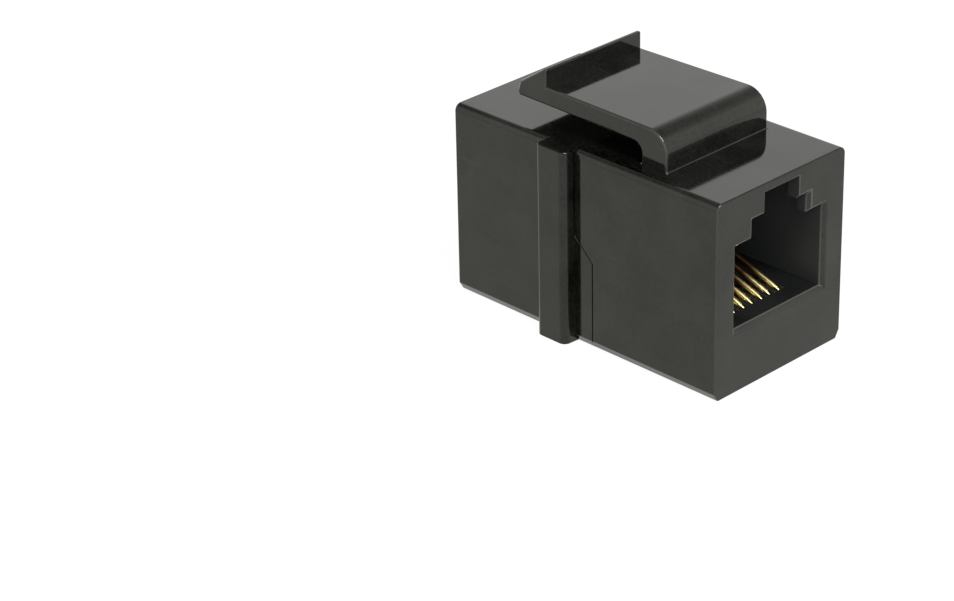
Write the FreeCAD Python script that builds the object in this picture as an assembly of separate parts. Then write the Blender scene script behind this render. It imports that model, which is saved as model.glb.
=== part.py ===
import FreeCAD, Part
import math
import os

V = FreeCAD.Vector

# The coupler lies along Y: the panel end faces -Y, the rear end +Y, and X = 0 is its mirror plane.
body_width = 14.5
body_length = 27.1
body_height = 16.2
top_edge_radius = 0.60
bottom_ease_width = 0.42
bottom_ease_height = 0.68
bottom_edge_radius = 0.15
end_edge_radius = 0.12

# Modular socket: the rear one has its keyway up, the panel one is the same turned over about X.
plug_half = 4.95
plug_height = 6.75
step_half = 3.12
step_rise = 1.55
key_half = 1.97
key_rise = 3.48
key_roof = 0.72
mouth_bevel = 0.32
key_wall = 1.10
pocket_half = 4.30
pocket_roof = 0.90
pocket_length = 8.0
divider_half = 2.20

# Parting face between the two housing halves, seen from the side.
seam_y = -0.75
tongue_reach = 1.83
tongue_top = 7.30
seam_groove = 0.09
seam_groove_depth = 0.16

# Side ribs that stop against the back of a panel.
rib_reach = 1.10
rib_length = 3.05
rib_rear_radius = 0.60
rib_front_radius = 0.50

# Panel latch: a plate that runs forward from its root and carries a ridge and a ramped tip.
panel_thickness = 1.60
panel_clearance = 0.07
latch_half = 5.42
latch_gap = 1.65
plate_thickness = 1.50
root_back = 7.22
root_thickness = 2.60
root_outer_radius = 1.35
ridge_width = 0.30
ridge_rise = 1.40
ridge_radius = 0.12
ramp_length = 2.52
tip_thickness = 1.20
tip_overhang = 0.25
tip_undercut = 0.15
tip_face_rise = 0.42
latch_edge_radius = 0.14
barrel_radius = 0.80
barrel_clearance = 0.03
cradle_floor = 0.07
cradle_drop = 0.05
shoulder_gap = 0.20

# Contact wires: six on the pitch of a modular plug, straight through from socket to socket.
wire_count = 6
wire_pitch = 1.02
wire_diameter = 0.46
wire_exit = 0.20
wire_foot_inset = 2.10
wire_foot_sink = 0.32
wire_exit_radius = 1.00

# Comb slots that hold the feet of the wires.
slot_side_clearance = 0.09
slot_end_clearance = 0.15
slot_floor_clearance = 0.25

# Carrier: two halves clamped over the wires between the housing halves.
flange_side_lip = 0.65
flange_lip = 0.70
flange_reach = 1.60
flange_clearance = 0.05
wire_clearance = 0.01

half_width = body_width / 2
half_length = body_length / 2
mid_height = body_height / 2
key_top = body_height - key_roof
plug_ceiling = key_top - key_rise
plug_floor = plug_ceiling - plug_height
window_top = body_height - plug_floor
flange_half = plug_half + flange_side_lip
flange_bottom = plug_floor - flange_lip
flange_top = window_top + flange_lip
rib_front = seam_y - rib_length
tongue_y = seam_y + tongue_reach
plate_bottom = body_height + latch_gap
plate_top = plate_bottom + plate_thickness
ridge_back = rib_front - panel_thickness - panel_clearance
root_front = root_back - root_thickness
hinge_y = root_back - root_thickness / 2
hinge_z = body_height + cradle_floor + barrel_clearance + barrel_radius
stub_top = hinge_z - cradle_drop
shoulder = stub_top + shoulder_gap
wire_leave_y = divider_half + wire_exit
wire_foot_y = half_length - wire_foot_inset
wire_foot_z = plug_floor - wire_foot_sink
wire_fall = (mid_height - wire_foot_z) / (wire_foot_y - wire_leave_y)


def box(x0, x1, y0, y1, z0, z1):
    return Part.makeBox(x1 - x0, y1 - y0, z1 - z0, V(x0, y0, z0))


def turnedOver(shape):
    """The same shape turned half a turn about the X line through the middle of the body."""
    turned = shape.copy()
    turned.rotate(V(0, 0, mid_height), V(1, 0, 0), 180)
    return turned


def sideProfile(points, half):
    """A closed outline in the YZ plane, pushed out to both sides of X = 0."""
    wire = Part.makePolygon([V(-half, y, z) for y, z in points + points[:1]])
    return Part.Face(wire).extrude(V(2 * half, 0, 0))


def edgesAlong(shape, axis, keep):
    """Straight edges of a shape that run along an axis and whose middle passes a test."""
    found = []
    for edge in shape.Edges:
        run = edge.Vertexes[-1].Point - edge.Vertexes[0].Point
        straight = isinstance(edge.Curve, Part.Line)
        if straight and abs(run.normalize().dot(axis)) > 0.999 and keep(edge.CenterOfMass):
            found.append(edge)
    return found


def outerBlock():
    """The body's section, its lower corners eased by steep chamfers, pushed along Y and rounded."""
    foot = half_width - bottom_ease_width
    corners = [(-half_width, body_height), (-half_width, bottom_ease_height), (-foot, 0),
               (foot, 0), (half_width, bottom_ease_height), (half_width, body_height)]
    section = Part.makePolygon([V(x, -half_length, z) for x, z in corners + corners[:1]])
    block = Part.Face(section).extrude(V(0, body_length, 0))
    along = V(0, 1, 0)
    block = block.makeFillet(top_edge_radius, edgesAlong(block, along, lambda c: c.z > mid_height))
    block = block.makeFillet(bottom_edge_radius, edgesAlong(block, along, lambda c: c.z < mid_height))
    ends = [edge for edge in block.Edges if abs(abs(edge.CenterOfMass.y) - half_length) < 1e-6]
    return block.makeFillet(end_edge_radius, ends)


def rib(side):
    """One stop rib, as tall as the body, with its outer corners well rounded."""
    inner = half_width - rib_reach
    outer = half_width + rib_reach
    block = box(inner, outer, rib_front, seam_y, 0, body_height)
    upright = V(0, 0, 1)
    middle = (rib_front + seam_y) / 2
    rear = edgesAlong(block, upright, lambda c: c.x > half_width and c.y > middle)
    block = block.makeFillet(rib_rear_radius, rear)
    front = edgesAlong(block, upright, lambda c: c.x > half_width and c.y < middle - rib_length / 4)
    block = block.makeFillet(rib_front_radius, front)
    return block if side > 0 else block.mirror(V(0, 0, 0), V(1, 0, 0))


def panelSide(shift):
    """Everything on the panel side of the parting face, with that face moved along Y by a shift."""
    margin = rib_reach
    low = -margin
    high = body_height + margin
    far = -half_length - margin
    outline = [
        (far, low),
        (tongue_y + shift, low),
        (tongue_y + shift, tongue_top),
        (seam_y + shift, tongue_top + tongue_reach),
        (seam_y + shift, high),
        (far, high),
    ]
    return sideProfile(outline, half_width + 2 * rib_reach)


def seamGroove():
    """A shallow groove round the outside, just behind the parting face."""
    band = panelSide(seam_groove).cut(panelSide(0))
    inset = seam_groove_depth
    core = box(-half_width + inset, half_width - inset, -half_length, half_length, inset, body_height - inset)
    return band.cut(core)


def mouthOutline(y, grow):
    """Outline of the socket mouth at one depth: the plug's rectangle with the wide step on top."""
    low = plug_floor - grow
    shelf = plug_ceiling + grow
    top = plug_ceiling + step_rise + grow
    wide = plug_half + grow
    step = step_half + grow
    corners = [(-wide, low), (wide, low), (wide, shelf), (step, shelf)]
    corners += [(step, top), (-step, top), (-step, shelf), (-wide, shelf)]
    return Part.makePolygon([V(x, y, z) for x, z in corners + corners[:1]])


def socketVoid():
    """All that is cut away for the rear socket: mouth, keyway, latch pocket and plug space."""
    lap = 0.1
    bevel_end = half_length - mouth_bevel
    wall_end = half_length - key_wall
    bevel = Part.makeLoft([mouthOutline(half_length, mouth_bevel), mouthOutline(bevel_end, 0)], True, True)
    throat = Part.Face(mouthOutline(wall_end - lap, 0)).extrude(V(0, key_wall + lap, 0))
    key = box(-key_half, key_half, wall_end - lap, half_length + lap, plug_ceiling, key_top)
    pocket_top = body_height - pocket_roof
    pocket_back = wall_end - pocket_length
    pocket = box(-pocket_half, pocket_half, pocket_back, wall_end, plug_ceiling - lap, pocket_top)
    plug = box(-plug_half, plug_half, divider_half, wall_end, plug_floor, plug_ceiling)
    return bevel.fuse([throat, key, pocket, plug])


def wirePlaces():
    first = -(wire_count - 1) / 2 * wire_pitch
    return [first + index * wire_pitch for index in range(wire_count)]


def combSlots():
    """Slots in the socket floor, one for the foot of each wire, from where the wire dips to its tip."""
    half = wire_diameter / 2 + slot_side_clearance
    above = wire_diameter
    start = wire_foot_y - (wire_foot_sink + above) / wire_fall
    end = wire_foot_y + slot_end_clearance
    bottom = wire_foot_z - wire_diameter / 2 - slot_floor_clearance
    slots = [box(x - half, x + half, start, end, bottom, plug_floor + above) for x in wirePlaces()]
    return slots[0].fuse(slots[1:])


def carrierVoid():
    """Window through the middle of the body with the pocket of the carrier's flange."""
    window = box(-plug_half, plug_half, -divider_half, divider_half, plug_floor, window_top)
    flange = box(-flange_half, flange_half, -flange_reach, flange_reach, flange_bottom, flange_top)
    return window.fuse(flange)


def latchStub():
    """Foot of the latch root on the rear housing, with the cradle of the flexing line."""
    buried = body_height - top_edge_radius
    block = box(-latch_half, latch_half, root_front, root_back, buried, stub_top)
    radius = barrel_radius + barrel_clearance
    cradle = Part.makeCylinder(radius, 4 * latch_half, V(-2 * latch_half, hinge_y, hinge_z), V(1, 0, 0))
    return block.cut(cradle)


def latchOutline():
    """Side outline of the moving part of the latch, from its shoulder round the plate and the tip."""
    inner_radius = plate_bottom - shoulder
    outer_start = plate_top - root_outer_radius
    corner_y = root_back - root_outer_radius
    inner_y = root_front - inner_radius
    ridge_top = plate_top + ridge_rise
    ridge_front = ridge_back - ridge_width
    tip_y = ridge_front - ramp_length
    tip_low = plate_bottom + tip_face_rise
    diagonal = math.sqrt(0.5)

    def at(y, z):
        return V(-latch_half, y, z)

    outer_middle = at(corner_y + root_outer_radius * diagonal, outer_start + root_outer_radius * diagonal)
    inner_middle = at(inner_y + inner_radius * diagonal, shoulder + inner_radius * diagonal)
    outer_arc = Part.Arc(at(root_back, outer_start), outer_middle, at(corner_y, plate_top))
    inner_arc = Part.Arc(at(inner_y, plate_bottom), inner_middle, at(root_front, shoulder))
    along = [
        at(corner_y, plate_top),
        at(ridge_back, plate_top),
        at(ridge_back, ridge_top),
        at(ridge_front, ridge_top),
        at(tip_y, plate_bottom + tip_thickness),
        at(tip_y - tip_overhang, tip_low),
        at(tip_y - tip_overhang + tip_undercut, plate_bottom),
        at(inner_y, plate_bottom),
    ]
    edges = [Part.makeLine(at(root_back, shoulder), at(root_back, outer_start)), outer_arc.toShape()]
    edges += [Part.makeLine(a, b) for a, b in zip(along, along[1:])]
    edges += [inner_arc.toShape(), Part.makeLine(at(root_front, shoulder), at(root_back, shoulder))]
    return Part.Wire(edges)


def latch():
    """The moving part of the latch: rounded plate with its ridge and tip, on the barrel it turns about."""
    plate = Part.Face(latchOutline()).extrude(V(2 * latch_half, 0, 0))
    across = V(1, 0, 0)
    crest = edgesAlong(plate, across, lambda c: c.z > plate_top + ridge_rise / 2)
    plate = plate.makeFillet(ridge_radius, crest)
    nose = edgesAlong(plate, across, lambda c: c.y < ridge_back - ridge_width - ramp_length / 2)
    plate = plate.makeFillet(ridge_radius, nose)
    rim = [e for e in plate.Edges if abs(abs(e.CenterOfMass.x) - latch_half) < 1e-6]
    rim = [e for e in rim if e.CenterOfMass.z > shoulder + shoulder_gap / 2]
    plate = plate.makeFillet(latch_edge_radius, rim)
    barrel = Part.makeCylinder(barrel_radius, 2 * latch_half, V(-latch_half, hinge_y, hinge_z), V(1, 0, 0))
    return plate.fuse(barrel).removeSplitter()


def roundedPath(points, radii):
    """Straight runs through the points, with a tangent arc at each inner one."""
    edges = []
    start = points[0]
    for index, radius in enumerate(radii):
        before, corner, after = points[index:index + 3]
        to_before = (before - corner).normalize()
        to_after = (after - corner).normalize()
        half_angle = to_before.getAngle(to_after) / 2
        reach = radius / math.tan(half_angle)
        entry = corner + to_before * reach
        leave = corner + to_after * reach
        bisector = (to_before + to_after).normalize()
        middle = corner + bisector * (radius / math.sin(half_angle) - radius)
        edges.append(Part.makeLine(start, entry))
        edges.append(Part.Arc(entry, middle, leave).toShape())
        start = leave
    edges.append(Part.makeLine(start, points[-1]))
    return Part.Wire(edges)


def contactWire(x):
    """One round wire, bent in its own plane, from its foot in one socket to that in the other."""
    foot = V(x, wire_foot_y, wire_foot_z)
    leave = V(x, wire_leave_y, mid_height)
    rear = [foot, leave]
    front = [V(x, -p.y, body_height - p.z) for p in reversed(rear)]
    path = roundedPath(rear + front, [wire_exit_radius, wire_exit_radius])
    ring = Part.Wire(Part.makeCircle(wire_diameter / 2, foot, leave - foot))
    return path.makePipe(Part.Face(ring))


def carrierHalf(low, high):
    """One half of the carrier between two heights, grooved for the wires."""
    side = flange_half - flange_clearance
    nose_side = plug_half - flange_clearance
    flange = box(-side, side, -flange_reach, flange_reach, low, high)
    nose_low = max(low, plug_floor)
    nose_high = min(high, window_top)
    nose = box(-nose_side, nose_side, -divider_half, divider_half, nose_low, nose_high)
    half = flange.fuse(nose)
    for x in wirePlaces():
        start = V(x, -2 * divider_half, mid_height)
        groove = Part.makeCylinder(wire_diameter / 2 + wire_clearance, 4 * divider_half, start, V(0, 1, 0))
        half = half.cut(groove)
    return half


def housings():
    shell = outerBlock().fuse([rib(1), rib(-1)])
    hollow = socketVoid().fuse(combSlots())
    shell = shell.cut(hollow).cut(turnedOver(hollow)).cut(carrierVoid())
    front = shell.common(panelSide(0))
    rear = shell.cut(panelSide(0)).cut(seamGroove()).fuse(latchStub())
    return front.removeSplitter(), rear.removeSplitter()


def write(name, shape):
    if shape.ShapeType == "Compound" and len(shape.Solids) == 1:
        shape = shape.Solids[0]
    print(name, "solids", len(shape.Solids), "valid", shape.isValid(), "volume", round(shape.Volume, 3))
    shape.exportStep("parts/" + name + ".step")


os.makedirs("parts", exist_ok=True)
front_housing, rear_housing = housings()
write("front_housing", front_housing)
write("rear_housing", rear_housing)
write("panel_latch", latch())
write("carrier_lower", carrierHalf(flange_bottom, mid_height))
write("carrier_upper", carrierHalf(mid_height, flange_top))
for number, place in enumerate(wirePlaces(), 1):
    write("contact_wire_" + str(number), contactWire(place))
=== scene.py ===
import bpy
import bmesh
import math
from mathutils import Matrix, Vector
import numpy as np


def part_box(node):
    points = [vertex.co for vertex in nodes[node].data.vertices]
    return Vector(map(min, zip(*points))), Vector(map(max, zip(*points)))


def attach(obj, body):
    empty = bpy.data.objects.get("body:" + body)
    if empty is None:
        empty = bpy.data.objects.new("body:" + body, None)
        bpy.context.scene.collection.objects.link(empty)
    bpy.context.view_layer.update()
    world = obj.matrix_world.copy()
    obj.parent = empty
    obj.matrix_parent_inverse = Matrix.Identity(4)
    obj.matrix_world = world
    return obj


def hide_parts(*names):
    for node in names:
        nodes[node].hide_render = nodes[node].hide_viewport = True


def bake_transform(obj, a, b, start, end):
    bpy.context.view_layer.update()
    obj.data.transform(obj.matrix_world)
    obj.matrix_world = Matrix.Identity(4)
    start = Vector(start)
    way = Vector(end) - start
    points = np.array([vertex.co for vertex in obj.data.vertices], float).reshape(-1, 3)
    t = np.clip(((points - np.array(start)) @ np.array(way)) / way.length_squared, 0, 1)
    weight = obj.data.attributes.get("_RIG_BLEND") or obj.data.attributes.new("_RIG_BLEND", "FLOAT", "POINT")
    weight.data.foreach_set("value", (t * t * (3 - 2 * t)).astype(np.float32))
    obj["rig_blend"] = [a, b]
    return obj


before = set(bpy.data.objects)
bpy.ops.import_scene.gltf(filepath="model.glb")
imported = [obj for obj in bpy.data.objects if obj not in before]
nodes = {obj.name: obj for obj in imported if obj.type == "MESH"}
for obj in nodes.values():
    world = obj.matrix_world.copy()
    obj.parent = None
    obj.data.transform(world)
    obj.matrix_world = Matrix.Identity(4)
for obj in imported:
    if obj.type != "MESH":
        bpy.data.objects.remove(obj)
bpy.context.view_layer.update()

mm = 0.001
scene = bpy.context.scene
print("stage: frame loaded,", len(nodes), "nodes")


# small helpers

def linkObject(name, data):
    obj = bpy.data.objects.new(name, data)
    scene.collection.objects.link(obj)
    return obj


def bakedMesh(obj):
    graph = bpy.context.evaluated_depsgraph_get()
    return bpy.data.meshes.new_from_object(
        obj.evaluated_get(graph), preserve_all_data_layers=True, depsgraph=graph)


def setMaterial(obj, material):
    obj.data.materials.clear()
    obj.data.materials.append(material)


def smoothPiece(name, shape, material):
    mesh = bpy.data.meshes.new(name)
    shape.to_mesh(mesh)
    shape.free()
    for face in mesh.polygons:
        face.use_smooth = True
    piece = linkObject(name, mesh)
    weighted = piece.modifiers.new("faceWeight", "WEIGHTED_NORMAL")
    weighted.weight = 100  # large flat faces keep their own direction
    weighted.keep_sharp = True
    baked = bakedMesh(piece)
    piece.modifiers.clear()
    piece.data = baked
    setMaterial(piece, material)
    return piece


def newTree(name, kind, inputs, outputs):
    tree = bpy.data.node_groups.new(name, kind)
    for side, sockets in (("INPUT", inputs), ("OUTPUT", outputs)):
        for label, carries in sockets.items():
            tree.interface.new_socket(label, in_out=side, socket_type="NodeSocket" + carries)
    return tree


def socketOf(tree, name):
    for item in tree.interface.items_tree:
        if item.item_type == "SOCKET" and item.in_out == "INPUT" and item.name == name:
            return item.identifier
    raise KeyError(name)


def feed(tree, node, values):
    # a value is a constant, or the output of another node, which is linked
    for key, value in values.items():
        if isinstance(value, bpy.types.NodeSocket):
            tree.links.new(value, node.inputs[key])
        else:
            node.inputs[key].default_value = value


def addNode(tree, kind, values=None, **settings):
    node = tree.nodes.new(kind)
    for key, value in settings.items():
        setattr(node, key, value)
    feed(tree, node, values or {})
    return node


def maths(tree, operation, *values, clamped=False):
    node = addNode(tree, "ShaderNodeMath", dict(enumerate(values)), operation=operation, use_clamp=clamped)
    return node.outputs[0]


def rangeOf(tree, source, low, high, fromLow=0.3, fromHigh=0.7):
    # most values of a noise texture lie between 0.3 and 0.7
    node = addNode(tree, "ShaderNodeMapRange", {
        "Value": source, "From Min": fromLow, "From Max": fromHigh, "To Min": low, "To Max": high})
    return node.outputs["Result"]


def mixOf(tree, factor, first, second, kind="FLOAT"):
    node = addNode(tree, "ShaderNodeMix", {"Factor": factor, "A": first, "B": second}, data_type=kind)
    return node.outputs["Result"]


def roundCorner(before, corner, after, radius, steps):
    into = (before - corner).normalized()
    out = (after - corner).normalized()
    half = into.angle(out) / 2
    reach = radius / math.tan(half)
    centre = corner + (into + out).normalized() * (radius / math.sin(half))
    entry = corner + into * reach - centre
    leave = corner + out * reach - centre
    return [centre + entry.lerp(leave, s / steps).normalized() * radius for s in range(steps + 1)]


# surface effects that several finishes share

def makeMouldedSurface():
    tree = newTree(
        "mouldedSurface", "ShaderNodeTree",
        {"Vector": "Vector", "Grain Scale": "Float", "Flow Scale": "Float", "Flow Share": "Float"},
        {"Height": "Float", "Tone": "Float"})
    given = addNode(tree, "NodeGroupInput").outputs
    grain = addNode(tree, "ShaderNodeTexNoise", {
        "Vector": given["Vector"], "Scale": given["Grain Scale"], "Detail": 3.0, "Roughness": 0.55})
    flow = addNode(tree, "ShaderNodeTexNoise", {
        "Vector": given["Vector"], "Scale": given["Flow Scale"],
        "Detail": 1.0, "Roughness": 0.4, "Distortion": 0.6})
    both = mixOf(tree, given["Flow Share"], grain.outputs["Fac"], flow.outputs["Fac"])
    addNode(tree, "NodeGroupOutput", {"Height": both, "Tone": both})
    return tree


def makeHairlines():
    tree = newTree(
        "hairlines", "ShaderNodeTree",
        {"Vector": "Vector", "Scale": "Float", "Stretch": "Float", "Rareness": "Float"}, {"Mask": "Float"})
    given = addNode(tree, "NodeGroupInput").outputs
    shrink = addNode(tree, "ShaderNodeCombineXYZ", {
        "X": 1.0, "Y": maths(tree, "DIVIDE", 1.0, given["Stretch"]), "Z": 1.0})
    scaled = addNode(tree, "ShaderNodeVectorMath", {
        0: given["Vector"], 1: shrink.outputs[0]}, operation="MULTIPLY")
    noise = addNode(tree, "ShaderNodeTexNoise", {
        "Vector": scaled.outputs[0], "Scale": given["Scale"], "Detail": 2.0, "Roughness": 0.7})
    fullAt = 0.78  # the noise seldom rises above this
    mask = rangeOf(tree, noise.outputs["Fac"], 0, 1, given["Rareness"], fullAt)
    addNode(tree, "NodeGroupOutput", {"Mask": mask})
    return tree


mouldedSurface = makeMouldedSurface()
hairlines = makeHairlines()


def placeSurface(tree, place, look):
    return addNode(tree, "ShaderNodeGroup", node_tree=mouldedSurface, values={
        "Vector": place, "Grain Scale": look["grainScale"], "Flow Scale": look["flowScale"],
        "Flow Share": look["flowShare"]}).outputs


def placeHairlines(tree, place, look):
    return addNode(tree, "ShaderNodeGroup", node_tree=hairlines, values={
        "Vector": place, "Scale": look["lineScale"], "Stretch": look["lineStretch"],
        "Rareness": look["lineRareness"]}).outputs["Mask"]


def placeBump(tree, height, look):
    return addNode(tree, "ShaderNodeBump", {
        "Height": height, "Strength": look["bumpStrength"], "Distance": look["bumpDepth"]}).outputs["Normal"]


def meshValue(tree, name):
    return addNode(tree, "ShaderNodeAttribute", attribute_name=name).outputs["Fac"]


blackPlastic = {
    "deep": (0.0001, 0.0002, 0.0001, 1), "pale": (0.0078, 0.0080, 0.0071, 1), "tint": (1.0, 1.0, 0.86, 1),
    # the colour for the socket's inside is painted light: its walls are drawn paler where light reaches in
    "paintedInsideLight": (0.0255, 0.0272, 0.0280, 1), "scuff": (0.018, 0.018, 0.015, 1), "edgeHighlight": (0.05, 0.05, 0.045, 1),
    "toneLow": 0.38, "toneHigh": 0.62, "scuffShare": 0.5, "index": 1.43,
    # the edge colour is a painted highlight along rounded edges, which are also made duller
    "polished": 0.05, "dulled": 0.10, "scuffDulls": 0.08, "edgeDulls": 0.35, "innerDulls": 0.34,
    "lineScale": 1500.0, "lineStretch": 14.0, "lineRareness": 0.64,
    "grainScale": 4200.0, "flowScale": 260.0, "flowShare": 0.45,
    "bumpStrength": 0.35, "bumpDepth": 0.004 * mm,
}


def makePlastic(name, look):
    material = bpy.data.materials.new(name)
    material.use_nodes = True
    tree = material.node_tree
    place = addNode(tree, "ShaderNodeTexCoord").outputs["Object"]
    # painted light: the share of paler colour inside the socket; the same share also dulls the roughness
    paintedInsideLight = meshValue(tree, "paintedInsideLightShare")
    # painted highlight: a paler colour along rounded edges, which also dulls them
    edgeHighlight = meshValue(tree, "paintedEdgeHighlight")
    surface = placeSurface(tree, place, look)
    scuffs = placeHairlines(tree, place, look)
    tone = rangeOf(tree, surface["Tone"], 0, 1, look["toneLow"], look["toneHigh"])
    colour = mixOf(tree, tone, look["deep"], look["pale"], "RGBA")
    faint = rangeOf(tree, scuffs, 0, look["scuffShare"], 0, 1)
    for factor, shade in ((faint, "scuff"), (paintedInsideLight, "paintedInsideLight"), (edgeHighlight, "edgeHighlight")):
        colour = mixOf(tree, factor, colour, look[shade], "RGBA")
    rough = rangeOf(tree, surface["Tone"], look["polished"], look["dulled"])
    for factor, share in ((scuffs, "scuffDulls"), (edgeHighlight, "edgeDulls"), (paintedInsideLight, "innerDulls")):
        rough = maths(tree, "MULTIPLY_ADD", factor, look[share], rough)
    feed(tree, tree.nodes["Principled BSDF"], {
        "IOR": look["index"], "Specular Tint": look["tint"], "Base Color": colour, "Roughness": rough,
        "Normal": placeBump(tree, surface["Height"], look)})
    return material


goldPlate = {
    # the deep colour is painted shade, for the wires' parts further into the socket
    "bright": (1.0, 0.92, 0.47, 1), "warm": (1.0, 0.78, 0.31, 1), "paintedDeepShade": (0.27, 0.14, 0.05, 1),
    "wireShare": 0.55, "patchShare": 0.5, "shadedBelow": 8.6 * mm, "litAbove": 10.5 * mm,
    "polished": 0.28, "drawn": 0.42, "lineScale": 5200.0, "lineStretch": 22.0, "lineRareness": 0.35,
    "grainScale": 16000.0, "flowScale": 700.0, "flowShare": 0.4,
    "bumpStrength": 0.4, "bumpDepth": 0.0015 * mm,
}


def makeGold(name, look):
    material = bpy.data.materials.new(name)
    material.use_nodes = True
    tree = material.node_tree
    place = addNode(tree, "ShaderNodeTexCoord").outputs["Object"]
    lines = placeHairlines(tree, place, look)
    surface = placeSurface(tree, place, look)
    patches = rangeOf(tree, surface["Tone"], 0, look["patchShare"])
    tint = meshValue(tree, "wireTint")
    warmth = maths(tree, "MULTIPLY_ADD", tint, look["wireShare"], patches, clamped=True)
    plated = mixOf(tree, warmth, look["bright"], look["warm"], "RGBA")
    # painted shade: the wires are drawn darker further into the socket, away from the mouths, where less
    # light reaches them
    along = maths(tree, "ABSOLUTE", addNode(tree, "ShaderNodeSeparateXYZ", {0: place}).outputs["Y"])
    litTowardsMouth = rangeOf(tree, along, 0, 1, look["shadedBelow"], look["litAbove"])
    feed(tree, tree.nodes["Principled BSDF"], {
        "Metallic": 1.0, "Base Color": mixOf(tree, litTowardsMouth, look["paintedDeepShade"], plated, "RGBA"),
        "Roughness": rangeOf(tree, lines, look["polished"], look["drawn"], 0, 1),
        "Normal": placeBump(tree, lines, look)})
    return material


carrierPlastic = {**blackPlastic, "polished": 0.30, "dulled": 0.42, "flowShare": 0.3}
housingBlack = makePlastic("housingBlack", blackPlastic)
carrierBlack = makePlastic("carrierBlack", carrierPlastic)
contactGold = makeGold("contactGold", goldPlate)
print("stage: finishes made")


# housing halves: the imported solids' own forms, with their sharp edges broken as a mould leaves them

shellEdges = {
    "mergeGap": 0.0004 * mm, "footGap": 0.01 * mm, "shallow": 0.05 * mm,
    "flatAngle": 0.4, "sharpAngle": 24, "creaseAngle": 32,
    "mouthRadius": 0.10 * mm, "ribRadius": 0.07 * mm, "seamRadius": 0.03 * mm, "segments": 3,
    # where the mouths are, as shares of the body's half width and height, and how deep their edges lie
    "mouthSide": 0.8, "mouthBottom": 0.03, "mouthTop": 0.975, "mouthDepth": 0.6 * mm,
    "plugCeiling": 11.9 * mm, "plugSide": 5.0 * mm, "bareRim": 0.2 * mm,
    # the rounding between an end face and the sides, and the painted highlight on it
    "endRadius": 0.12 * mm, "endSlack": 0.04, "rimReach": 0.45 * mm,
    "endHighlight": 0.4, "bareTop": 0.24 * mm, "cornerReach": 0.48 * mm,
    # which faces lie inside a socket, and what share they take of the painted light inside it and of its
    # duller finish
    "innerSide": 0.9, "innerBottom": 0.04, "innerTop": 0.96, "litRim": 0.33 * mm,
    "floorFacing": 0.9, "floorShare": 0.22, "endFacing": 0.95, "bevelShare": 0.25,
}
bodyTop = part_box("front_housing")[1].z
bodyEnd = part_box("rear_housing")[1].y
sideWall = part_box("rear_housing")[1].x


def mergedCopy(nodeName):
    shape = bmesh.new()
    shape.from_mesh(nodes[nodeName].data)
    bmesh.ops.remove_doubles(shape, verts=shape.verts, dist=shellEdges["mergeGap"])
    return shape


def dropLatchFoot(shape):
    ceiling = bodyTop + shellEdges["footGap"]
    above = [face for face in shape.faces if max(v.co.z for v in face.verts) > ceiling]
    bmesh.ops.delete(shape, geom=above, context="FACES")
    rim = [edge for edge in shape.edges if edge.is_boundary]
    bmesh.ops.holes_fill(shape, edges=rim, sides=0)


def atMouth(middle):
    between = shellEdges["mouthBottom"] * bodyTop < middle.z < shellEdges["mouthTop"] * bodyTop
    inside = abs(middle.x) < shellEdges["mouthSide"] * sideWall and between
    return inside and abs(middle.y) > bodyEnd - shellEdges["mouthDepth"]


def onPlugRim(point):
    # the outer edges of the bevel round the plug's part of the mouth; the front socket is upside down
    height = point.z if point.y > 0 else bodyTop - point.z
    around = height < shellEdges["plugCeiling"] or abs(point.x) > shellEdges["plugSide"]
    return around and abs(point.y) > bodyEnd - shellEdges["bareRim"]


def onRib(middle):
    return abs(middle.x) > sideWall + shellEdges["shallow"]


def inEndRounding(middle):
    fromRim = min(sideWall - abs(middle.x), middle.z, bodyTop - middle.z)
    depth = (1 - shellEdges["endSlack"]) * shellEdges["endRadius"]
    return abs(middle.y) > bodyEnd - depth and fromRim < shellEdges["rimReach"]


def onOutside(middle):
    gaps = (sideWall - abs(middle.x), middle.z, bodyTop - middle.z)
    return min(abs(gap) for gap in gaps) < shellEdges["shallow"] and not inEndRounding(middle)


def softenEdges(shape, keep, radius, edgeLight):
    limit = math.radians(shellEdges["sharpAngle"])
    sharp = [e for e in shape.edges if len(e.link_faces) == 2 and e.calc_face_angle() > limit
             and keep((e.verts[0].co + e.verts[1].co) / 2)]
    made = bmesh.ops.bevel(shape, geom=sharp, offset=radius, offset_type="OFFSET",
                           segments=shellEdges["segments"], profile=0.5, affect="EDGES", clamp_overlap=False)
    if edgeLight:
        layer = shape.verts.layers.float["paintedEdgeHighlight"]
        rounded = set(made["faces"])
        for vert in made["verts"]:
            inRing = all(face in rounded for face in vert.link_faces)
            # painted highlight along the rounded edges, left off the plug's rim
            if inRing and not onPlugRim(vert.co):
                vert[layer] = 1.0


def highlightEnds(shape):
    # painted highlight on the end roundings, which the top edge takes at its corners only; it also dulls them
    layer = shape.verts.layers.float["paintedEdgeHighlight"]
    slack = shellEdges["endSlack"] * shellEdges["endRadius"]
    for vert in shape.verts:
        low = bodyTop - vert.co.z > shellEdges["bareTop"]
        atCorner = sideWall - abs(vert.co.x) < shellEdges["cornerReach"]
        if inEndRounding(vert.co) and slack < bodyEnd - abs(vert.co.y) and (low or atCorner):
            vert[layer] = shellEdges["endHighlight"]


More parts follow.
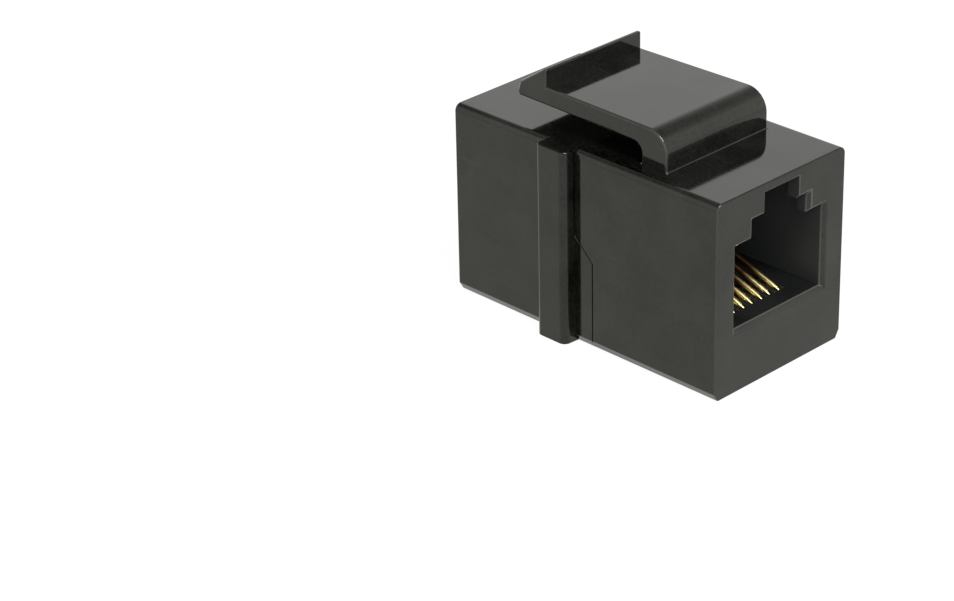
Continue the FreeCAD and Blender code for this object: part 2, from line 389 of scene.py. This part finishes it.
def markPaintedInsideLight(shape):
    # painted light inside the socket: its walls are drawn paler, its floor and the bevels at the mouth less
    # so
    layer = shape.faces.layers.float.new("paintedInsideLightShare")
    bottom, top = shellEdges["innerBottom"] * bodyTop, shellEdges["innerTop"] * bodyTop
    for face in shape.faces:
        width = max(abs(vert.co.x) for vert in face.verts)
        heights = [vert.co.z for vert in face.verts]
        closed = width < shellEdges["innerSide"] * sideWall and bottom < min(heights) and max(heights) < top
        if abs(face.calc_center_median().y) < bodyEnd - shellEdges["litRim"]:
            share = shellEdges["floorShare"] if face.normal.z > shellEdges["floorFacing"] else 1.0
        else:
            share = shellEdges["bevelShare"] if abs(face.normal.y) < shellEdges["endFacing"] else 0.0
        face[layer] = share if closed else 0.0


def creaseEdges(shape):
    limit = math.radians(shellEdges["creaseAngle"])
    for edge in shape.edges:
        middle = (edge.verts[0].co + edge.verts[1].co) / 2
        if len(edge.link_faces) == 2 and edge.calc_face_angle() > limit and not inEndRounding(middle):
            edge.smooth = False


def keepInBox(shape, nodeName):
    # a broken edge may bulge by some hundredths of a millimetre where several meet
    low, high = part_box(nodeName)
    for vert in shape.verts:
        for axis in range(3):
            vert.co[axis] = min(max(vert.co[axis], low[axis]), high[axis])


def makeShell(nodeName, pieceName):
    shape = mergedCopy(nodeName)
    if nodeName == "rear_housing":
        dropLatchFoot(shape)
    bmesh.ops.dissolve_limit(shape, angle_limit=math.radians(shellEdges["flatAngle"]), verts=shape.verts,
                             edges=shape.edges, delimit=set())
    shape.verts.layers.float.new("paintedEdgeHighlight")
    highlightEnds(shape)
    softenEdges(shape, atMouth, shellEdges["mouthRadius"], True)
    softenEdges(shape, onRib, shellEdges["ribRadius"], False)
    softenEdges(shape, onOutside, shellEdges["seamRadius"], False)
    keepInBox(shape, nodeName)
    markPaintedInsideLight(shape)
    creaseEdges(shape)
    shell = smoothPiece(pieceName, shape, housingBlack)
    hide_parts(nodeName)
    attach(shell, "housing")
    print("stage:", pieceName, len(shell.data.polygons), "faces")


makeShell("front_housing", "panelShell")
makeShell("rear_housing", "rearShell")


# carrier halves keep their packed forms

for nodeName in ("carrier_lower", "carrier_upper"):
    setMaterial(nodes[nodeName], carrierBlack)
print("stage: carrier finished")


# spring latch, one piece from its foot on the rear shell to the ramped tip, in millimetres

latchPlan = {
    "rootBack": 7.22, "rootThickness": 2.60, "footDepth": 0.05, "footFlare": 0.12, "footSpare": 0.02,
    "gap": 1.65, "thickness": 1.50, "outerRadius": 1.85, "innerRadius": 0.85,
    "ridgeBack": -5.47, "ridgeWidth": 0.30, "ridgeRise": 1.40, "crestRadius": 0.12,
    "rampLength": 2.52, "tipThickness": 1.20, "tipOverhang": 0.25, "tipUndercut": 0.15, "tipFaceRise": 0.42,
    "noseRadius": 0.16, "rimRadius": 0.21, "leastRadius": 0.006, "rimSteps": 4, "arcSteps": 8,
    "narrowAtRidge": 0.04, "widerAtRoot": 0.28, "mergeGap": 0.002,
    # shares of painted highlight on the latch's rims and round its bend
    "bendStart": 0.30, "bendEnd": 1.50, "bendRows": 8, "rimHighlight": 0.35, "bendHighlight": 0.60,
}


def latchCorners(plan, top):
    low = top + plan["gap"]
    high = low + plan["thickness"]
    front = plan["rootBack"] - plan["rootThickness"]
    ridgeFront = plan["ridgeBack"] - plan["ridgeWidth"]
    tip = ridgeFront - plan["rampLength"]
    flare, nose, crest = plan["footFlare"], plan["noseRadius"], plan["crestRadius"]
    toe = flare + plan["footSpare"]
    deep = top - plan["footDepth"]
    # y, z, corner radius, whether the side that starts here moves in towards the rim, rows along it
    return [
        (front - toe, deep, 0, 0, 1),
        (plan["rootBack"] + toe, deep, 0, 0, 1),
        (plan["rootBack"] + toe, top, 0, 0, 1),
        (plan["rootBack"], top, flare, 1, plan["bendRows"]),
        (plan["rootBack"], high, plan["outerRadius"], 1, 1),
        (plan["ridgeBack"], high, 0, 1, 1),
        (plan["ridgeBack"], high + plan["ridgeRise"], crest, 1, 1),
        (ridgeFront, high + plan["ridgeRise"], crest, 1, 1),
        (tip, low + plan["tipThickness"], nose, 1, 1),
        (tip - plan["tipOverhang"], low + plan["tipFaceRise"], nose, 1, 1),
        (tip - plan["tipOverhang"] + plan["tipUndercut"], low, nose, 1, 1),
        (front, low, plan["innerRadius"], 1, plan["bendRows"] // 2),
        (front, top, flare, 0, 1),
        (front - toe, top, 0, 0, 1),
    ]


def insetOutline(corners, inset, plan):
    sides = []
    for (y, z, _, moves, _), following in zip(corners, corners[1:] + corners[:1]):
        along = Vector((following[0] - y, following[1] - z)).normalized()
        inward = Vector((-along.y, along.x))
        sides.append((Vector((y, z)) + inward * inset * moves, along))
    points = []
    for index, (_, _, radius, _, _) in enumerate(corners):
        (before, into), (after, out) = sides[index - 1], sides[index]
        turn = into.cross(out)
        corner = before + into * ((after - before).cross(out) / turn)
        if radius:
            radius = max(radius - math.copysign(inset, turn), plan["leastRadius"])
            points.append(roundCorner(corner - into, corner, corner + out, radius, plan["arcSteps"]))
        else:
            points.append([corner])
    outline = []
    for index, arc in enumerate(points):
        outline += arc
        rows = corners[index][4]
        following = points[(index + 1) % len(points)][0]
        outline += [arc[-1].lerp(following, row / rows) for row in range(1, rows)]
    return outline


def halfWidth(plan, half, y):
    # the latch widens a little from its ridge to its root
    share = (y - plan["ridgeBack"]) / (plan["rootBack"] - plan["ridgeBack"])
    return half - plan["narrowAtRidge"] + share * (plan["narrowAtRidge"] + plan["widerAtRoot"])


def rimSections(plan):
    # a quarter turn round the rim: its step outwards, the inset of the outline and the share of painted
    # highlight, fullest at the rim's middle
    rim = plan["rimRadius"]
    turns = [math.pi / 2 * step / plan["rimSteps"] for step in range(plan["rimSteps"] + 1)]
    return [(rim * math.sin(turn) - rim, rim - rim * math.cos(turn), math.sin(2 * turn)) for turn in turns]


def latchRings(shape, plan):
    edgeLight = shape.verts.layers.float.new("paintedEdgeHighlight")
    corners = latchCorners(plan, bodyTop / mm)
    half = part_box("panel_latch")[1].x / mm
    bend = (plan["rootBack"] - plan["outerRadius"]) * mm
    sections = rimSections(plan)
    rings = []
    for side, row in ((-1, sections[::-1]), (1, sections)):
        for x, inset, edgeHighlight in row:
            ring = [shape.verts.new((side * (halfWidth(plan, half, y) + x) * mm, y * mm, z * mm))
                    for y, z in insetOutline(corners, inset, plan)]
            for vert in ring:
                # painted highlight along the latch's rims, stronger round its bend
                vert[edgeLight] = edgeHighlight * plan["bendHighlight" if vert.co.y > bend else "rimHighlight"]
            rings.append(ring)
    return rings


def makeLatch(plan):
    shape = bmesh.new()
    rings = latchRings(shape, plan)
    for ring, following in zip(rings, rings[1:]):
        for index in range(len(ring)):
            after = (index + 1) % len(ring)
            shape.faces.new((ring[index], ring[after], following[after], following[index]))
    shape.faces.new(rings[0][::-1])
    shape.faces.new(rings[-1])
    bmesh.ops.remove_doubles(shape, verts=shape.verts, dist=plan["mergeGap"] * mm)
    bmesh.ops.recalc_face_normals(shape, faces=shape.faces)
    creaseEdges(shape)
    latch = smoothPiece("springLatch", shape, housingBlack)
    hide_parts("panel_latch")
    middle = (plan["rootBack"] - plan["rootThickness"] / 2) * mm
    start = (0, middle, bodyTop + plan["bendStart"] * mm)
    end = (0, middle, bodyTop + plan["bendEnd"] * mm)
    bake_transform(latch, "housing", "latch", start=start, end=end)
    print("stage: springLatch", len(latch.data.polygons), "faces")


makeLatch(latchPlan)


# contact wires: one bent line, repeated across the carrier, in millimetres and degrees

wirePlan = {
    "count": 6, "pitch": 1.02, "diameter": 0.46, "sides": 20, "leave": 2.40, "foot": 11.50,
    "footHeight": 4.91, "bendRadius": 1.0, "bendSteps": 6, "pointed": 0.25, "taperShare": 0.075,
    "unevenness": 0.25, "leanSeed": 4, "tintSeed": 11,
}


def wireLine(plan):
    middle = bodyTop / mm / 2
    foot = Vector((0, plan["foot"], plan["footHeight"] - middle))
    leave = Vector((0, plan["leave"], 0))
    rear = [foot, foot.lerp(leave, plan["taperShare"]), foot.lerp(leave, 0.5)]
    rear += roundCorner(foot, leave, Vector((0, 0, 0)), plan["bendRadius"], plan["bendSteps"])
    front = [Vector((0, -p.y, -p.z)) for p in reversed(rear)]
    curve = bpy.data.curves.new("wireLine", "CURVE")
    curve.dimensions = "3D"
    spline = curve.splines.new("POLY")
    spline.points.add(len(rear + front) - 1)
    for point, place in zip(spline.points, rear + front):
        point.co = (*(place * mm), 1)
    spline.points[0].radius = spline.points[-1].radius = plan["pointed"]
    return linkObject("wireLine", curve)


def roundWire(tree, given):
    radius = maths(tree, "MULTIPLY", given["Diameter"], 0.5)
    ring = addNode(tree, "GeometryNodeCurvePrimitiveCircle", {"Resolution": given["Sides"], "Radius": radius})
    wire = addNode(tree, "GeometryNodeCurveToMesh", {
        "Curve": given["Geometry"], "Profile Curve": ring.outputs["Curve"], "Fill Caps": True,
        "Scale": addNode(tree, "GeometryNodeInputRadius").outputs[0]})
    return addNode(tree, "GeometryNodeSetShadeSmooth", {"Geometry": wire.outputs["Mesh"]}).outputs["Geometry"]


def rowOfPoints(tree, given):
    spread = maths(tree, "MULTIPLY", given["Pitch"], maths(tree, "SUBTRACT", given["Count"], 1))
    first = addNode(tree, "ShaderNodeCombineXYZ", {
        "X": maths(tree, "MULTIPLY", spread, -0.5), "Z": given["Height"]})
    stride = addNode(tree, "ShaderNodeCombineXYZ", {"X": given["Pitch"]})
    row = addNode(tree, "GeometryNodeMeshLine", {
        "Count": given["Count"], "Start Location": first.outputs[0], "Offset": stride.outputs[0]})
    return row.outputs["Mesh"]


def makeWireRow():
    tree = newTree(
        "wireRow", "GeometryNodeTree",
        {"Geometry": "Geometry", "Count": "Int", "Pitch": "Float", "Diameter": "Float", "Sides": "Int",
         "Height": "Float", "Unevenness": "Float", "Lean Seed": "Int", "Tint Seed": "Int"},
        {"Geometry": "Geometry"})
    given = addNode(tree, "NodeGroupInput").outputs
    # a random value's sockets for plain numbers are its inputs 2 and 3 and its output 1
    lean = addNode(tree, "FunctionNodeRandomValue", data_type="FLOAT", values={
        2: maths(tree, "MULTIPLY", given["Unevenness"], -1), 3: given["Unevenness"],
        "Seed": given["Lean Seed"]})
    turn = addNode(tree, "ShaderNodeCombineXYZ", {"X": lean.outputs[1]})
    placed = addNode(tree, "GeometryNodeInstanceOnPoints", {
        "Points": rowOfPoints(tree, given), "Instance": roundWire(tree, given), "Rotation": turn.outputs[0]})
    tone = addNode(tree, "FunctionNodeRandomValue", {"Seed": given["Tint Seed"]}, data_type="FLOAT")
    tinted = addNode(tree, "GeometryNodeStoreNamedAttribute", data_type="FLOAT", domain="INSTANCE", values={
        "Geometry": placed.outputs["Instances"], "Name": "wireTint", "Value": tone.outputs[1]})
    real = addNode(tree, "GeometryNodeRealizeInstances", {"Geometry": tinted.outputs["Geometry"]})
    addNode(tree, "NodeGroupOutput", {"Geometry": real.outputs["Geometry"]})
    return tree


def makeWires(plan):
    line = wireLine(plan)
    tree = makeWireRow()
    row = line.modifiers.new("wireRow", "NODES")
    row.node_group = tree
    values = {"Count": plan["count"], "Pitch": plan["pitch"] * mm, "Diameter": plan["diameter"] * mm,
              "Sides": plan["sides"], "Height": bodyTop / 2, "Unevenness": math.radians(plan["unevenness"]),
              "Lean Seed": plan["leanSeed"], "Tint Seed": plan["tintSeed"]}
    for label, value in values.items():
        row[socketOf(tree, label)] = value
    wires = linkObject("contactWires", bakedMesh(line))
    bpy.data.objects.remove(line)
    setMaterial(wires, contactGold)
    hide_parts(*sorted(name for name in nodes if name.startswith("contact_wire")))
    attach(wires, "housing")
    print("stage: contactWires", len(wires.data.polygons), "faces")


makeWires(wirePlan)


# studio, in metres and degrees: pale floor that shows white and keeps a trace of the shadow, and soft light

studio = {
    "floorSize": 4.0, "floorTone": 0.9, "floorGlow": 1.04, "shadowShare": 0.08, "light": 0.50,
    "backdrop": 1.30, "ceiling": 0.42, "backdropTop": 32.0, "ceilingStart": 47.0,
}

lamps = [
    {"name": "nearFill", "size": 0.30, "energy": 2.0, "place": (0.55, 0.57, 0.42), "mirrored": False},
    {"name": "frontTop", "size": 0.36, "energy": 9.0, "place": (0.07, 0.45, 0.73), "mirrored": True},
]

white = (1, 1, 1, 1)


def seenDirectly(tree, path):
    return maths(tree, "MAXIMUM", path["Is Camera Ray"], path["Is Transmission Ray"])


def makeFloor():
    mesh = bpy.data.meshes.new("floor")
    half = studio["floorSize"] / 2
    corners = [(-half, -half, 0), (half, -half, 0), (half, half, 0), (-half, half, 0)]
    mesh.from_pydata(corners, [], [(0, 1, 2, 3)])
    floor = linkObject("floor", mesh)
    material = bpy.data.materials.new("floorWhite")
    material.use_nodes = True
    tree = material.node_tree
    tree.nodes.clear()
    tone = studio["floorTone"]
    matte = addNode(tree, "ShaderNodeBsdfDiffuse", {"Color": (tone, tone, tone, 1)})
    glow = addNode(tree, "ShaderNodeEmission", {"Color": white, "Strength": studio["floorGlow"]})
    path = addNode(tree, "ShaderNodeLightPath").outputs
    seen = maths(tree, "MAXIMUM", seenDirectly(tree, path), path["Is Glossy Ray"])
    share = maths(tree, "MULTIPLY", 1 - studio["shadowShare"], seen)
    mix = addNode(tree, "ShaderNodeMixShader", {0: share, 1: matte.outputs[0], 2: glow.outputs[0]})
    addNode(tree, "ShaderNodeOutputMaterial", {"Surface": mix.outputs[0]})
    setMaterial(floor, material)


def makeWorld():
    world = bpy.data.worlds.new("studio")
    scene.world = world
    world.use_nodes = True
    tree = world.node_tree
    path = addNode(tree, "ShaderNodeLightPath").outputs
    direction = addNode(tree, "ShaderNodeTexCoord").outputs["Generated"]
    height = addNode(tree, "ShaderNodeSeparateXYZ", {0: direction}).outputs["Z"]
    # a bright backdrop up to one height and a dim ceiling above, for what the plastic mirrors
    edges = [math.sin(math.radians(studio[key])) for key in ("backdropTop", "ceilingStart")]
    mirrored = rangeOf(tree, height, studio["backdrop"], studio["ceiling"], *edges)
    level = mixOf(tree, path["Is Glossy Ray"], studio["light"], mirrored)
    strength = mixOf(tree, seenDirectly(tree, path), level, 1.0)
    feed(tree, tree.nodes["Background"], {"Color": white, "Strength": strength})


def makeLamp(plan):
    light = bpy.data.lights.new(plan["name"], "AREA")
    light.size = plan["size"]
    light.energy = plan["energy"]
    lamp = linkObject(plan["name"], light)
    lamp.visible_glossy = plan["mirrored"]
    lamp.location = plan["place"]
    lamp.rotation_euler = (-Vector(plan["place"])).to_track_quat("-Z", "Y").to_euler()


makeFloor()
makeWorld()
for plan in lamps:
    makeLamp(plan)
print("stage: studio ready")


# camera, fitted to the outline of the body in the picture, in millimetres and degrees

view = {
    "aim": (0, 0, 8.0), "azimuth": 136.079, "elevation": 25.241, "roll": -1.317, "distance": 229.628,
    "slide": -13.411, "rise": 2.286, "lens": 111.939, "sensor": 36, "shiftX": 0.00447, "shiftY": -0.1143,
    "nearest": 10.0,
}


def makeCamera():
    azimuth, elevation, roll = (math.radians(view[key]) for key in ("azimuth", "elevation", "roll"))
    back = Vector((math.sin(azimuth) * math.cos(elevation), -math.cos(azimuth) * math.cos(elevation),
                   math.sin(elevation)))
    level = back.cross(Vector((0, 0, -1))).normalized()
    upright = back.cross(level)
    right = math.cos(roll) * level + math.sin(roll) * upright
    up = math.cos(roll) * upright - math.sin(roll) * level
    lens = bpy.data.cameras.new("camera")
    lens.sensor_width = view["sensor"]
    lens.lens = view["lens"]
    lens.shift_x = view["shiftX"]
    lens.shift_y = view["shiftY"]
    lens.clip_start = view["nearest"] * mm
    camera = linkObject("camera", lens)
    turn = Matrix((right, up, back)).transposed().to_4x4()
    place = Vector(view["aim"]) + back * view["distance"] + right * view["slide"] + up * view["rise"]
    camera.matrix_world = Matrix.Translation(place * mm) @ turn
    scene.camera = camera


makeCamera()
scene.view_settings.view_transform = "Standard"
print("stage: camera set")
